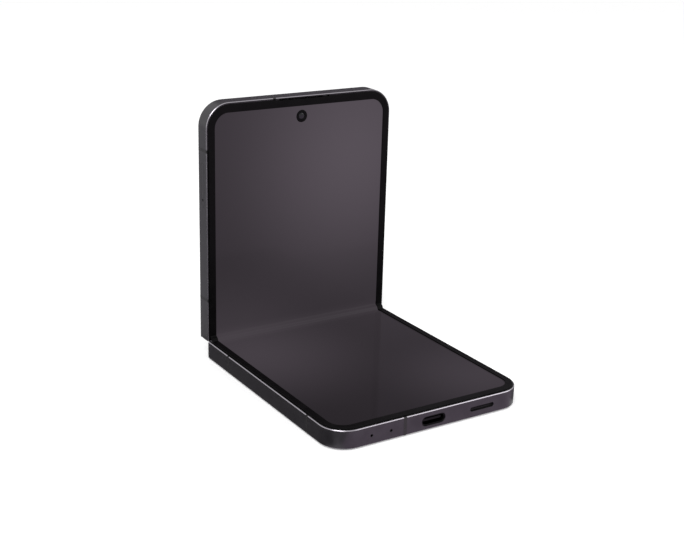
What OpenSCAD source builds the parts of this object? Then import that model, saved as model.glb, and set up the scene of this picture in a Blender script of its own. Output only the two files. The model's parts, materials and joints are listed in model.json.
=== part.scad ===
// Clamshell smartphone with a folding inner display.
// Each half is drawn lying flat, with the fold along X at y = 0, the half reaching to y = half_l,
// the bezel face at z = 0 and the back at z = -half_t. The place_ modules then fold the phone.

/* [Body] */
// Width of the phone
body_w = 71.9; // [70:0.1:78]
// Length of each half, from the fold to its outer edge
half_l = 82.55; // [82:0.05:88]
// Thickness of each half, from the bezel face to the back glass
half_t = 6.9; // [6.9:0.1:7.4]
// Radius of the outer corners
corner_r = 8.4; // [6:0.1:11]
// Thickness of the frame's side walls
wall = 1.6; // [1.5:0.05:1.8]
// Width of the chamfers along the frame's edges
edge_cut = 0.35; // [0.2:0.05:0.4]

/* [Display] */
// Width of the bezel beside the picture
bezel_w = 2.35; // [2:0.05:3]
// Width of the bezel at the outer ends
bezel_end_w = 2.7; // [2.4:0.05:4]
// Corner radius of the picture
picture_r = 5; // [3:0.1:7]
// Radius of the front camera's hole in the display
punch_r = 2.15; // [1.6:0.05:2.6]
// Distance of the front camera from the outer edge
punch_end = 6.95; // [6.8:0.05:8]
// Bending radius of the display at the modelled angle
bend_r = 1.5; // [1.2:0.1:2]

/* [Hinge] */
// Angle between the two halves as modelled
open_angle = 90; // [70:1:130]
// Distance of each fold pivot from the fold
pivot_y = 2; // [1.95:0.01:2.05]
// Depth of the fold pivots under the bezel face
pivot_depth = 1.45; // [1.42:0.01:1.48]
// Outer radius of the spine about each pivot
spine_r = 4.05; // [4:0.01:4.08]
// Number of teeth on each synchronising gear
gear_teeth = 15; // [13:1:17]
// Clearance round the moving arc rails
rail_clearance = 0.05; // [0.04:0.01:0.07]

/* [Ports and keys] */
// Width of the USB-C opening in the frame
usb_w = 8.9; // [8.8:0.1:9.2]
// Height of the USB-C opening in the frame
usb_h = 3.2; // [3.1:0.05:3.3]
// Length of the loudspeaker slot
speaker_l = 9.3; // [7:0.1:11]
// Length of the volume rocker
rocker_l = 20; // [16:0.5:24]
// Length of the power button
power_l = 14; // [11:0.5:16]
// Distance that the keys travel
key_travel = 0.25; // [0.15:0.05:0.3]
// Length of the SIM tray's door
tray_l = 15; // [14:0.5:16]

/* [Hidden] */
$fn = 72;

// Heights in a half, measured down from the bezel face
frame_top = -0.3;
picture_z = -0.45;
panel_z = -0.85;
ledge_z = -1;
mid_z = -1.8;
seat_z = 0.8 - half_t;
glass_z = seat_z - 0.15;
frame_back = 0.3 - half_t;
port_z = -3.6;

// Plan of a half
fit = 0.05;
rim = 0.65;
half_w = body_w / 2;
inner_w = half_w - wall;
fold_gap = 0.15;
bezel_y = 1.6;
flex_y = 8;
beam_y = 6.4;
cavity_y = 10.2;
cavity_end = half_l - wall;
picture_inset = rim + bezel_w;
picture_end = rim + bezel_end_w;
panel_inset = 1.5;

// Fold and spine
fold_turn = (180 - open_angle) / 2;
nest_clearance = 0.15;
spine_wall = 0.5;
spine_end = inner_w - nest_clearance;
spine_top = -2.35;
cap_t = 0.8;
inner_r = spine_r - spine_wall;
block_r = inner_r - 0.03;
display_room_y = 1.7;
display_room_z = -2.55;
block_top = -1.65;
fold_corner_r = pivot_y - 0.1;
spine_floor = -pivot_depth - inner_r;

// Hinge modules along X, from the middle outwards
plate_x = spine_end - 22.7;
plate_t = 0.8;
spring_x = plate_x + plate_t;
spring_l = 4;
follower_x = spring_x + spring_l;
follower_t = 1.2;
hub_x = follower_x + follower_t + fit;
hub_l = 0.85;
gear_x = hub_x + hub_l;
gear_w = 2.2;
block_x = gear_x + gear_w + 0.2;
web_t = 0.8;
rail_w = 3;
rail_room = rail_w + 0.2;
rail_x = [block_x + web_t, block_x + 2 * web_t + 1 + rail_room];
block_end = rail_x[1] + rail_room + web_t;
screw_x = rail_x[0] + rail_room + (web_t + 1) / 2;

// Arc rails and gears
rail_in = 2;
rail_out = 3;
rail_start = 185;
foot_y = 9.5;
foot_top = -1.2;
foot_bottom = -1.95;
gear_r = 1.125;
gear_module = 2 * gear_r / gear_teeth;
gear_y = gear_r;
gear_z = -pivot_depth - sqrt(pow(2 * gear_r, 2) - pow(pivot_y - gear_y, 2));
mesh_angle = atan2(gear_z + pivot_depth, gear_y - pivot_y);
tooth_pitch = 360 / gear_teeth;
segment_start = 150;
segment_end = 264;
segment_top = -1;
shaft_r = 0.5;
running = 0.05;

// Cameras: one behind the display, two on the back of the upper half
punch_y = half_l - punch_end;
lens_x = half_w - 12.35;
lens_y = [half_l - 11.15, half_l - 25.75];
lens_ring_r = 6.2;
lens_window_r = 5.1;
lens_rise = 1.4;
flash_y = half_l - 37.35;
flash_r = 2;

// Keys, tray and breaks, measured from the fold
power_y = half_l - 51.55;
rocker_y = half_l - 30.55;
key_h = 2;
key_z = -3.45;
key_proud = 0.35;
tray_y = half_l - 27.55;
tray_hole_y = tray_y - 5.25;
tray_h = 2;
tray_depth = 20;
break_w = 1.1;
side_breaks = [15, half_l - 15.75];
end_break_x = -10.6;
mic_x = [13.25 - half_w, 20.25 - half_w];
speaker_x = half_w - 17.25;
speaker_h = 1.5;
earpiece_l = 21;

frame_color = [0.2, 0.19, 0.2];
plastic_color = [0.26, 0.25, 0.26];
glass_color = [0.16, 0.15, 0.16];
cell_color = [0.12, 0.12, 0.13];
strip_color = [0.14, 0.14, 0.15];
black = [0.05, 0.05, 0.055];
board_color = [0.05, 0.16, 0.1];
steel = [0.62, 0.62, 0.64];
gold = [0.75, 0.58, 0.25];

// ---- placing ----

module turn_about(y, z, angle) translate([0, y, z]) rotate([angle, 0, 0]) translate([0, -y, -z]) children();
module place_row() translate([0, half_l / 2, half_t]) children();
module place_lower() place_row() mirror([0, 1, 0]) children();
module place_spine() place_row() turn_about(-pivot_y, -pivot_depth, fold_turn) children();
module place_upper() place_spine() turn_about(pivot_y, -pivot_depth, fold_turn) children();
module both_sides() for (side = [0, 1]) mirror([side, 0, 0]) children();

// Extrudes an outline drawn in (y, z) from x0 to x1
module along_x(x0, x1) translate([x0, 0, 0]) rotate([90, 0, 90]) linear_extrude(x1 - x0) children();

// Extrudes an outline drawn in (x, z) from y0 to y1
module along_y(y0, y1) translate([0, y1, 0]) rotate([90, 0, 0]) linear_extrude(y1 - y0) children();

// Box between two opposite corners
module box(low, high) translate(low) cube(high - low);

// ---- outlines ----

// Plan of a half, set in from its edge, with square corners at the fold
module half_plan(inset, y0 = fold_gap, end = undef, r = undef) {
    far = half_l - (is_undef(end) ? inset : end);
    round = is_undef(r) ? corner_r - inset : r;
    w = half_w - inset;
    translate([-w, y0]) square([2 * w, far - round - y0]);
    translate([round - w, y0]) square([2 * (w - round), far - y0]);
    for (side = [-1, 1]) translate([side * (w - round), far - round]) circle(round);
}

module slab(top, bottom, inset, y0 = fold_gap, end = undef, r = undef)
    translate([0, 0, bottom]) linear_extrude(top - bottom) half_plan(inset, y0, end, r);

// Section of the frame's wall, measured inwards from its outer face
module rim_section(reach) polygon([for (p = [
    [0, frame_top - edge_cut], [edge_cut, frame_top], [rim, frame_top], [rim, ledge_z], [wall, ledge_z],
    [wall, seat_z], [rim, seat_z], [rim, frame_back], [edge_cut, frame_back], [0, frame_back + edge_cut]
]) [reach - p[0], p[1]]]);

// Outline of the spine, or of a room round it, at a radius about both pivots
module spine_outline(r, top) intersection() {
    union() {
        for (side = [-1, 1]) translate([side * pivot_y, -pivot_depth]) circle(r);
        translate([-pivot_y, -pivot_depth - r]) square([2 * pivot_y, 2 * r]);
    }
    translate([-pivot_y - r - 1, -half_t]) square([2 * (pivot_y + r + 1), half_t + top]);
}

// Slot with round ends, centred, in a plane
module slot_outline(l, h) {
    square([l - h, h], center = true);
    for (side = [-1, 1]) translate([side * (l - h) / 2, 0]) circle(h / 2);
}

// Slot through the outer end wall, from y0 to beyond the edge
module end_slot(x, l, h, y0, y1 = half_l + 1)
    translate([x, 0, port_z]) along_y(y0, y1) slot_outline(l, h);

// Key or tray opening through a side wall; side is 1 on the right and -1 on the left
module side_slot(side, y, l, h, depth0, depth1)
    translate([side * half_w, y, key_z]) rotate([0, side * 90, 0])
        translate([0, 0, -depth1]) linear_extrude(depth1 - depth0) rotate(90) slot_outline(l, h);

// Sector of a disc between two angles
module wedge(r, from, to) polygon(concat([[0, 0]],
    [for (i = [0 : 8]) let (a = from + (to - from) * i / 8) 2 * r * [cos(a), sin(a)]]));

// ---- parts that both halves share ----

module frame_blank() {
    both_sides() {
        along_y(fold_gap, half_l - corner_r) rim_section(half_w);
        translate([half_w - corner_r, half_l - corner_r, 0])
            rotate_extrude(angle = 90) rim_section(corner_r);
    }
    along_x(corner_r - half_w, half_w - corner_r) rim_section(half_l);
    slab(ledge_z, mid_z, wall - fit, cavity_y - fit);
    box([-inner_w - fit, fold_gap, seat_z], [inner_w + fit, cavity_y, ledge_z]);
}

module fold_cuts() {
    // Room for the spine
    along_x(-inner_w, inner_w) union() {
        intersection() {
            spine_outline(spine_r + nest_clearance, 1);
            translate([0, -half_t]) square([beam_y, half_t]);
        }
    }
    // Corners rounded about the pivot, so that the halves clear each other as they fold
    difference() {
        box([-half_w - 1, 0, -pivot_depth], [half_w + 1, pivot_y, 1]);
        translate([-half_w - 2, pivot_y, -pivot_depth]) rotate([0, 90, 0])
            cylinder(r = fold_corner_r, h = body_w + 4);
    }
    // Recess for the wing plate and the hinge feet
    box([-inner_w, 0, foot_bottom], [inner_w, foot_y + fit, 1]);
}

// Boards, motor and receptacle
board_z = -3.9;
board_t = 0.6;
motor_xy = [12.35 - inner_w, half_l - 20.55];
motor_r = 4.2;
usb_shell_w = 8.6;
usb_shell_h = 2.9;
usb_shell_t = 0.25;
usb_depth = 7.4;

// Screws: they hold the boards to bosses under the mid plate, and the hinge feet to the beam
lower_bosses = [[4.75 - inner_w, half_l - 14.55], [1.5, half_l - 24.05], [14.35 - inner_w, half_l - 7.55]];
upper_bosses = [[4.75 - inner_w, half_l - 16.55], [inner_w - 5.15, half_l - 34.55], [9, half_l - 8.55]];
boss_r = 1.7;
screw_r = 0.6;
head_r = 1.15;
head_h = 0.6;
foot_head_r = 0.8;
foot_head_h = 0.3;
foot_screw_y = 8;

module boss_posts(points) for (p = points)
    translate([p[0], p[1], board_z]) cylinder(r = boss_r, h = mid_z - board_z + 0.2);

module screw_holes(points, r = screw_r) for (p = points)
    translate([p[0], p[1], board_z - 1]) cylinder(r = r, h = 2.6);

module board_screws(points) for (p = points) translate([p[0], p[1], board_z - board_t]) {
    difference() {
        translate([0, 0, -head_h]) cylinder(r = head_r, h = head_h);
        translate([0, 0, -head_h - 1]) cylinder(r = 0.4, h = 1.35, $fn = 6);
    }
    cylinder(r = screw_r - fit, h = board_t + 1.4);
}

// Middles of the feet along X, for the arc rails in one slot of the brackets
function foot_x(slot) = [gear_x + gear_w / 2, rail_x[slot] + rail_room / 2];

module foot_screws(slot, gap) both_sides() for (x = foot_x(slot))
    translate([x, foot_screw_y, foot_top - foot_head_h]) {
        cylinder(r = foot_head_r + gap, h = foot_head_h + (gap > 0 ? 1 : 0));
        translate([0, 0, -2.1]) cylinder(r = screw_r - fit + gap, h = 2.2);
    }

// Gaps through the frame's walls, on both sides and in the outer end
module break_bands(sides, end_x) {
    both_sides() for (y = sides)
        box([inner_w - 1, y - break_w / 2, -half_t], [half_w + 1, y + break_w / 2, ledge_z]);
    box([end_x - break_w / 2, cavity_end - 0.5, -half_t], [end_x + break_w / 2, half_l + 1, ledge_z]);
}

module bezel() difference() {
    union() {
        slab(0, picture_z, rim + fit, bezel_y);
        difference() {
            slab(0, ledge_z, rim + fit, bezel_y);
            slab(1, -half_t, panel_inset - fit, 0);
        }
    }
    slab(1, -half_t, picture_inset, 0, picture_end, picture_r);
}

module display(top, bottom) slab(top, bottom, panel_inset, flex_y, panel_inset);

wing_y = 3.4;

module wing_plate() slab(panel_z, foot_top, panel_inset + 1, wing_y, half_l - flex_y + fit, 0.5);

module back_glass(holes = false) difference() {
    slab(glass_z, -half_t, rim + fit, 0.5);
    if (holes) {
        for (y = lens_y) translate([lens_x, y, -half_t - 1]) cylinder(r = lens_ring_r + fit, h = 3);
        translate([lens_x, flash_y, -half_t - 1]) cylinder(r = flash_r + fit, h = 3);
    }
}

module back_seal() difference() {
    slab(seat_z, glass_z, rim + 0.1, 0.6);
    slab(1, -half_t, wall, beam_y + 1);
}

module battery(y0, y1, w) {
    box([-w, y0, seat_z + 0.5], [w, y1, mid_z - 0.2]);
    box([4 - w, y1, seat_z + 1.4], [w - 4, y1 + 1.6, mid_z - 1]);
}

// Arc rail round a pivot, with the foot that is screwed to the frame's beam
module rail_section_outline() {
    translate([pivot_y, -pivot_depth]) intersection() {
        difference() {
            circle(rail_out);
            circle(rail_in);
        }
        union() {
            wedge(rail_out, rail_start, 270);
            wedge(rail_out, 270, 360);
        }
    }
    translate([pivot_y + rail_in + fit, foot_bottom])
        square([foot_y - pivot_y - rail_in - fit, foot_top - foot_bottom]);
}

module rotators(slot) difference() {
    both_sides() translate([rail_x[slot] + (rail_room - rail_w) / 2, 0, 0])
        along_x(0, rail_w) rail_section_outline();
    foot_screws(slot, fit);
}

// ---- gears ----

// Outline of a gear with a tooth centred on the angle phase
module gear_outline(phase) polygon([for (i = [0 : gear_teeth - 1], p = [
    [-0.3, gear_r - 1.25 * gear_module], [-0.2, gear_r], [-0.09, gear_r + 0.85 * gear_module],
    [0.09, gear_r + 0.85 * gear_module], [0.2, gear_r], [0.3, gear_r - 1.25 * gear_module]
]) let (a = phase + tooth_pitch * (i + p[0])) p[1] * [cos(a), sin(a)]]);

// Toothed segment round a pivot, with its arm, on a half
module sync_segments(slot, phase) difference() {
    both_sides() along_x(gear_x + 0.1, gear_x + gear_w - 0.1) {
        difference() {
            translate([pivot_y, -pivot_depth]) intersection() {
                gear_outline(phase);
                union() {
                    wedge(gear_r, segment_start, segment_end);
                    circle(gear_r - 1.3 * gear_module);
                }
            }
            translate([0, segment_top]) square([2 * pivot_y, 2]);
        }
        translate([pivot_y, foot_bottom]) square([foot_y - pivot_y, foot_top - foot_bottom]);
    }
    foot_screws(slot, fit);
}

module sync_gear(side, phase, turn) both_sides() {
    translate([0, side * gear_y, gear_z]) {
        along_x(gear_x, gear_x + gear_w) rotate(turn) gear_outline(phase);
        along_x(plate_x + 0.1, block_x + web_t - 0.1) circle(shaft_r);
        along_x(hub_x, gear_x) circle(0.85);
    }
}

// ---- lower half ----

module lower_frame() color(frame_color) place_lower() difference() {
    union() {
        frame_blank();
        boss_posts(lower_bosses);
    }
    fold_cuts();
    foot_screws(1, fit);
    screw_holes(lower_bosses);
    break_bands(side_breaks, end_break_x);
    end_slot(0, usb_w, usb_h, cavity_end - 1);
    end_slot(speaker_x, speaker_l, speaker_h, cavity_end - 1);
    for (x = mic_x) end_slot(x, 0.9, 0.89, cavity_end - 1);
}

// The plastic bands fill the gaps, with the wall's own section
module antenna_breaks(sides, end_x) intersection() {
    break_bands(sides, end_x);
    frame_blank();
}

module lower_antenna_breaks() color(plastic_color) place_lower()
    antenna_breaks(side_breaks, end_break_x);

module lower_bezel() color(black) place_lower() bezel();

module lower_display() color([0.1, 0.1, 0.11]) place_lower() display(picture_z, panel_z);

module lower_display_plate() color(steel) place_lower() display(panel_z, ledge_z);

module lower_wing_plate() color(steel) place_lower() wing_plate();

module lower_back_glass() color(glass_color) place_lower() back_glass();

module lower_back_seal() color(black) place_lower() back_seal();

// Batteries: half of their width, and where they start and end
cell_w = inner_w - 5.35;
cell_start = cavity_y + 2.8;
lower_cell_room = 30.55;
upper_cell_room = 40.55;
lower_cell = [cell_start, half_l - lower_cell_room];
upper_cell = [cell_start, half_l - upper_cell_room];

module lower_battery() color(cell_color) place_lower() battery(lower_cell[0], lower_cell[1], cell_w);

coil_y = (lower_cell[0] + lower_cell[1]) / 2;
coil_r = (lower_cell[1] - lower_cell[0]) / 2 - 1.5;

module ferrite_sheet() color([0.25, 0.25, 0.27]) place_lower()
    translate([0, coil_y, seat_z + 0.32]) cylinder(r = coil_r + 0.5, h = 0.18);

module charging_coil() color(gold) place_lower() translate([0, coil_y, seat_z + 0.08])
    difference() {
        cylinder(r = coil_r, h = 0.24);
        translate([0, 0, -1]) cylinder(r = coil_r - 8, h = 3);
    }

sub_board_l = 26.55;
sub_board_y = half_l - sub_board_l;
speaker_box = [
    [speaker_x - 10.7, half_l - 25.55, seat_z + 0.5],
    [inner_w - 2.35, half_l - 7.05, mid_z - 0.15]];

module sub_board() color(board_color) place_lower() difference() {
    translate([0, 0, board_z - board_t]) linear_extrude(board_t) difference() {
        half_plan(wall + 1, sub_board_y, wall + 0.5);
        translate([speaker_box[0][0] - 1.5, 0]) square(half_l);
        translate([-half_w, 0]) square([8, sub_board_y + 6]);
        translate([-usb_shell_w / 2 - fit, half_l - usb_depth - fit]) square([usb_shell_w + 2 * fit, 20]);
        translate(motor_xy) circle(motor_r + 0.3);
    }
    screw_holes(lower_bosses, screw_r + 0.1);
}

module usb_receptacle() color(steel) place_lower() {
    difference() {
        end_slot(0, usb_shell_w, usb_shell_h, half_l - usb_depth, half_l - 0.3);
        end_slot(0, usb_shell_w - 2 * usb_shell_t, usb_shell_h - 2 * usb_shell_t, half_l - usb_depth + 0.5);
    }
    box([-3.3, half_l - usb_depth + 0.4, port_z - 0.35], [3.3, half_l - 1, port_z + 0.35]);
}

module loudspeaker() color([0.09, 0.09, 0.1]) place_lower() difference() {
    union() {
        box(speaker_box[0], speaker_box[1]);
        box([speaker_x - 5, speaker_box[1][1] - 1, port_z - 1.2],
            [speaker_x + 5, cavity_end - 0.1, port_z + 1.2]);
    }
    translate([speaker_x + 1.3, half_l - 16.55, seat_z]) cylinder(r = 7, h = 0.8);
    end_slot(speaker_x, speaker_l, speaker_h, speaker_box[1][1] - 4);
}

module speaker_grille() color([0.08, 0.08, 0.08]) place_lower() difference() {
    end_slot(speaker_x, speaker_l - 0.1, speaker_h - 0.1, half_l - 1, half_l - 0.75);
    for (i = [-6 : 6]) translate([speaker_x + i * 0.62, half_l - 2, port_z]) rotate([-90, 0, 0])
        cylinder(r = 0.2, h = 3, $fn = 16);
}

module microphones() color(gold) place_lower() for (x = mic_x)
    box([x - 1.6, cavity_end - 1.6, board_z + 0.02], [x + 1.6, cavity_end - 0.1, port_z + 1]);

module vibration_motor() color(steel) place_lower()
    translate([motor_xy[0], motor_xy[1], seat_z + 0.6]) cylinder(r = motor_r, h = 3.2);

module lower_screws() color(steel) place_lower() {
    board_screws(lower_bosses);
    foot_screws(1, 0);
}

module lower_rotators() color(steel) place_lower() rotators(1);

module lower_sync_segments() color(steel) place_lower() sync_segments(1, mesh_angle + tooth_pitch / 2);

// ---- fold ----

// How far a surface at a level lies beyond the fold where it meets its image on the other half
function meet(level) = let (rise = (level + pivot_depth - pivot_y * sin(fold_turn)) / cos(fold_turn))
    pivot_y - pivot_y * cos(fold_turn) + rise * sin(fold_turn);

// Half of a bend between two levels: an arc of mean radius r, from y to the middle of the fold
module half_bend(y, r, top, bottom) translate([y, (top + bottom) / 2 + r]) intersection() {
    difference() {
        circle(r + (top - bottom) / 2);
        circle(r - (top - bottom) / 2);
    }
    wedge(r, 270 - fold_turn, 270);
}

// Strip of the display that bends: flat beside the half, then an arc up to the middle of the fold
fold_mid = (picture_z + panel_z) / 2;
strip_end = bend_r * tan(fold_turn) + meet(fold_mid);

module fold_strip() along_x(panel_inset - half_w, half_w - panel_inset) {
    translate([strip_end, panel_z]) square([flex_y - strip_end, picture_z - panel_z]);
    half_bend(strip_end, bend_r, picture_z, panel_z);
}

// Soft guards that carry the bezel round both ends of the fold
guard_t = 0.4;
guard_r = (bezel_y - meet(-guard_t / 2)) / tan(fold_turn);

module fold_guards() both_sides() along_x(half_w - picture_inset, half_w - rim - fit)
    half_bend(bezel_y, guard_r, 0, -guard_t);

module display_fold_lower() color(strip_color) place_lower() fold_strip();

module display_fold_upper() color(strip_color) place_upper() fold_strip();

module fold_guard_lower() color(black) place_lower() fold_guards();

module fold_guard_upper() color(black) place_upper() fold_guards();

module hinge_spine() color(frame_color) place_spine() difference() {
    union() {
        along_x(cap_t - spine_end, spine_end - cap_t) difference() {
            spine_outline(spine_r, spine_top);
            spine_outline(inner_r, 1);
        }
        both_sides() translate([screw_x, 0, spine_floor - 0.1]) cylinder(r = 1, h = 0.9);
    }
    both_sides() translate([screw_x, 0, spine_floor - 0.2]) cylinder(r = 0.4, h = 2);
}

module spine_end_caps() color(frame_color) place_spine() both_sides() {
    along_x(spine_end - cap_t, spine_end) spine_outline(spine_r, spine_top);
    along_x(spine_end - 2 * cap_t, spine_end - cap_t) difference() {
        spine_outline(block_r, spine_top);
        spine_outline(block_r - 0.6, 1);
    }
}

// Room round one arc rail, in the section of a bracket
module rail_room_outline(side) mirror([side < 0 ? 1 : 0, 0]) {
    translate([pivot_y, -pivot_depth]) difference() {
        circle(rail_out + rail_clearance);
        circle(rail_in - rail_clearance);
    }
    translate([pivot_y + rail_in - fit, foot_bottom - 0.3]) square([4, 3]);
}

module hinge_brackets() color(steel) place_spine() both_sides() difference() {
    along_x(block_x, block_end) difference() {
        spine_outline(block_r, block_top);
        translate([-display_room_y, display_room_z]) square([2 * display_room_y, 3]);
    }
    along_x(rail_x[0], rail_x[0] + rail_room) rail_room_outline(1);
    along_x(rail_x[1], rail_x[1] + rail_room) rail_room_outline(-1);
    for (side = [-1, 1]) translate([0, side * gear_y, gear_z])
        along_x(block_x - 1, block_x + web_t) circle(shaft_r + running);
    translate([screw_x, 0, spine_floor - 1]) cylinder(r = 0.5, h = 6);
    translate([screw_x, 0, display_room_z - 0.4]) cylinder(r = 0.85, h = 3);
    translate([screw_x, 0, spine_floor - 1]) cylinder(r = 1.05, h = 1.9);
}

module bearing_plates() color(steel) place_spine() both_sides()
    along_x(plate_x, plate_x + plate_t) difference() {
        spine_outline(block_r, display_room_z);
        for (side = [-1, 1]) translate([side * gear_y, gear_z]) circle(shaft_r + running);
    }

module hinge_screws() color(steel) place_spine() both_sides() translate([screw_x, 0, 0]) {
    translate([0, 0, display_room_z - 0.38]) cylinder(r = 0.78, h = 0.35);
    translate([0, 0, spine_floor - 0.05]) cylinder(r = 0.38, h = display_room_z - 0.3 - spine_floor);
}

module cam_followers() color(steel) place_spine() both_sides()
    along_x(follower_x, follower_x + follower_t) difference() {
        translate([0, gear_z]) slot_outline(2 * gear_y + 2.3, 2.3);
        for (side = [-1, 1]) translate([side * gear_y, gear_z]) circle(shaft_r + running);
    }

// Coil springs, as a tube swept along a helix
spring_r = 0.83;
wire_r = 0.14;
spring_turns = 6;
turn_steps = 14;
wire_sides = 6;
spring_steps = spring_turns * turn_steps;
spring_pitch = (spring_l - 2 * wire_r - 2 * fit) / spring_turns;

function spring_point(i, j) = let (a = 360 * i / turn_steps, b = 360 * j / wire_sides,
    r = spring_r + wire_r * cos(b))
    [fit + wire_r + spring_pitch * i / turn_steps + wire_r * sin(b), r * cos(a), r * sin(a)];

module coil_spring() polyhedron(
    points = [for (i = [0 : spring_steps], j = [0 : wire_sides - 1]) spring_point(i, j)],
    faces = concat(
        [[for (j = [0 : wire_sides - 1]) j]],
        [[for (j = [wire_sides - 1 : -1 : 0]) spring_steps * wire_sides + j]],
        [for (i = [0 : spring_steps - 1], j = [0 : wire_sides - 1])
            let (k = (j + 1) % wire_sides, a = i * wire_sides, b = a + wire_sides)
            [a + k, a + j, b + j, b + k]]));

module hinge_springs() color(steel) place_spine() both_sides() for (side = [-1, 1])
    translate([spring_x, side * gear_y, gear_z]) coil_spring();

// The two gears in the middle mesh with each other, and each with the segment on its half
module sync_gear_lower() color(gold) place_spine() sync_gear(-1, -mesh_angle, fold_turn);

module sync_gear_upper() color(gold) place_spine()
    sync_gear(1, mesh_angle + 180 + tooth_pitch / 2, -fold_turn);

// ---- upper half ----

tray_room_x = half_w - tray_depth - 0.4;

module upper_frame() color(frame_color) place_upper() difference() {
    union() {
        frame_blank();
        boss_posts(upper_bosses);
    }
    fold_cuts();
    foot_screws(0, fit);
    screw_holes(upper_bosses);
    break_bands(side_breaks, end_break_x);
    side_slot(1, rocker_y, rocker_l + 2 * fit, key_h + 2 * fit, -1, wall + 1);
    side_slot(1, power_y, power_l + 2 * fit, key_h + 2 * fit, -1, wall + 1);
    side_slot(-1, tray_y, tray_l + 2 * fit, tray_h + 2 * fit, -1, wall + 1);
    translate([0, punch_y, mid_z - 1]) cylinder(r = 3.3, h = 3);
    end_slot(mic_x[1], 0.9, 0.89, cavity_end - 1);
    box([-earpiece_l / 2, half_l - rim - 0.2, ledge_z], [earpiece_l / 2, half_l - 0.36, 1]);
    box([-earpiece_l / 2 + 2, half_l - wall - 1, ledge_z - 1.6],
        [earpiece_l / 2 - 2, half_l - rim, ledge_z + 0.1]);
}

module upper_antenna_breaks() color(plastic_color) place_upper()
    antenna_breaks(side_breaks, end_break_x);

module upper_bezel() color(black) place_upper() difference() {
    bezel();
    box([-earpiece_l / 2, half_l - rim - 0.3, -half_t], [earpiece_l / 2, half_l, 1]);
}

module upper_display() color([0.22, 0.21, 0.21]) place_upper() difference() {
    display(picture_z, panel_z);
    translate([0, punch_y, panel_z - 1]) cylinder(r = punch_r, h = 1.3);
}

module upper_display_plate() color(steel) place_upper() difference() {
    display(panel_z, ledge_z);
    translate([0, punch_y, -3]) cylinder(r = punch_r + 0.3, h = 4);
}

module upper_wing_plate() color(steel) place_upper() wing_plate();

module upper_back_glass() color(glass_color) place_upper() back_glass(true);

module upper_back_seal() color(black) place_upper() back_seal();

module upper_battery() color(cell_color) place_upper() battery(upper_cell[0], upper_cell[1], cell_w);

module cover_display() color([0.05, 0.05, 0.06]) place_upper()
    box([6.95 - half_w, half_l - 25.55, glass_z + 0.01], [lens_x - 10.1, half_l - 4.55, glass_z + 0.35]);

main_board_l = 37.75;
main_board_y = half_l - main_board_l;

module main_board() color(board_color) place_upper() difference() {
    translate([0, 0, board_z - board_t]) linear_extrude(board_t) difference() {
        half_plan(wall + 1, main_board_y, wall + 0.8);
        for (y = lens_y) translate([lens_x - 6, y - 6]) square(12);
        translate([-half_w, tray_y - tray_l / 2 - 1]) square([tray_depth + 2, tray_l + 2]);
        translate([-4, punch_y - 4]) square(8);
        translate([-12, half_l - 3.55]) square([24, 5]);
        translate([key_strip_x - 0.3, 0]) square([half_w, rocker_y + rocker_l / 2 + 1]);
    }
    screw_holes(upper_bosses, screw_r + 0.1);
}

can_left = tray_depth + 2.5 - half_w;
can_right = lens_x - 7.6;
can_under = board_z - board_t;

module shield_cans() color(steel) place_upper() {
    box([can_left, main_board_y + 1.2, can_under - 1.1], [can_right, main_board_y + 11.2, can_under]);
    box([9.95 - half_w, tray_y + tray_l / 2 + 3.5, can_under - 1.1], [-6, half_l - 4.55, can_under]);
    box([can_left + 1, main_board_y + 13.2, board_z], [can_right - 2, half_l - 12.05, board_z + 1.5]);
}

// Camera module with a barrel that steps down to a domed front lens
barrel_r = 3.6;
barrel_steps = [[3, 0.2], [2.6, 0.4], [2.2, 0.75]];
front_lens_r = 3.4;

module camera_module(y, size) translate([lens_x, y, 0]) {
    box([-size / 2, -size / 2, seat_z + 0.3], [size / 2, size / 2, mid_z - 0.2]);
    translate([0, 0, 1 - half_t - lens_rise]) {
        difference() {
            cylinder(r = barrel_r, h = lens_rise + 1);
            for (step = barrel_steps) translate([0, 0, -1]) cylinder(r = step[0], h = step[1] + 1);
        }
        intersection() {
            translate([0, 0, front_lens_r + 0.15]) sphere(front_lens_r);
            cylinder(r = barrel_steps[2][0], h = 1);
        }
    }
}

module main_camera() color(black) place_upper() camera_module(lens_y[0], 11);

module wide_camera() color(black) place_upper() camera_module(lens_y[1], 10.4);

module lens_rings() color([0.3, 0.29, 0.3]) place_upper() for (y = lens_y)
    translate([lens_x, y, -half_t - lens_rise]) rotate_extrude() polygon([
        [lens_window_r + fit, 0], [lens_ring_r - 0.4, 0], [lens_ring_r, 0.4], [lens_ring_r, lens_rise + 0.6],
        [lens_window_r - 0.8, lens_rise + 0.6], [lens_window_r - 0.8, 0.75], [lens_window_r + fit, 0.75]]);

module lens_windows() color([0.03, 0.03, 0.035]) place_upper() for (y = lens_y)
    translate([lens_x, y, -half_t - lens_rise + 0.15]) cylinder(r = lens_window_r, h = 0.55);

module flash() color([0.9, 0.88, 0.8]) place_upper() translate([lens_x, flash_y, 0.02 - half_t])
    cylinder(r = flash_r, h = 1.5);

module front_camera() color(black) place_upper() translate([0, punch_y, 0]) {
    box([-2.9, -2.9, -4.6], [2.9, 2.9, mid_z - 0.3]);
    translate([0, 0, -3]) cylinder(r = punch_r - 0.15, h = 3 + picture_z - 0.2);
}

module earpiece() color(steel) place_upper()
    box([-6, cavity_end - 1.75, -5], [6, cavity_end - 0.15, -2.8]);

module sim_reader() color(steel) place_upper() difference() {
    box([1 - inner_w, tray_y - tray_l / 2 - 0.6, key_z - tray_h / 2 - 0.3],
        [-tray_room_x + 1, tray_y + tray_l / 2 + 0.6, key_z + tray_h / 2 + 0.4]);
    box([-half_w, tray_y - tray_l / 2 - 0.2, key_z - tray_h / 2 - 0.05],
        [-tray_room_x + 0.2, tray_y + tray_l / 2 + 0.2, key_z + tray_h / 2 + 0.1]);
}

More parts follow.
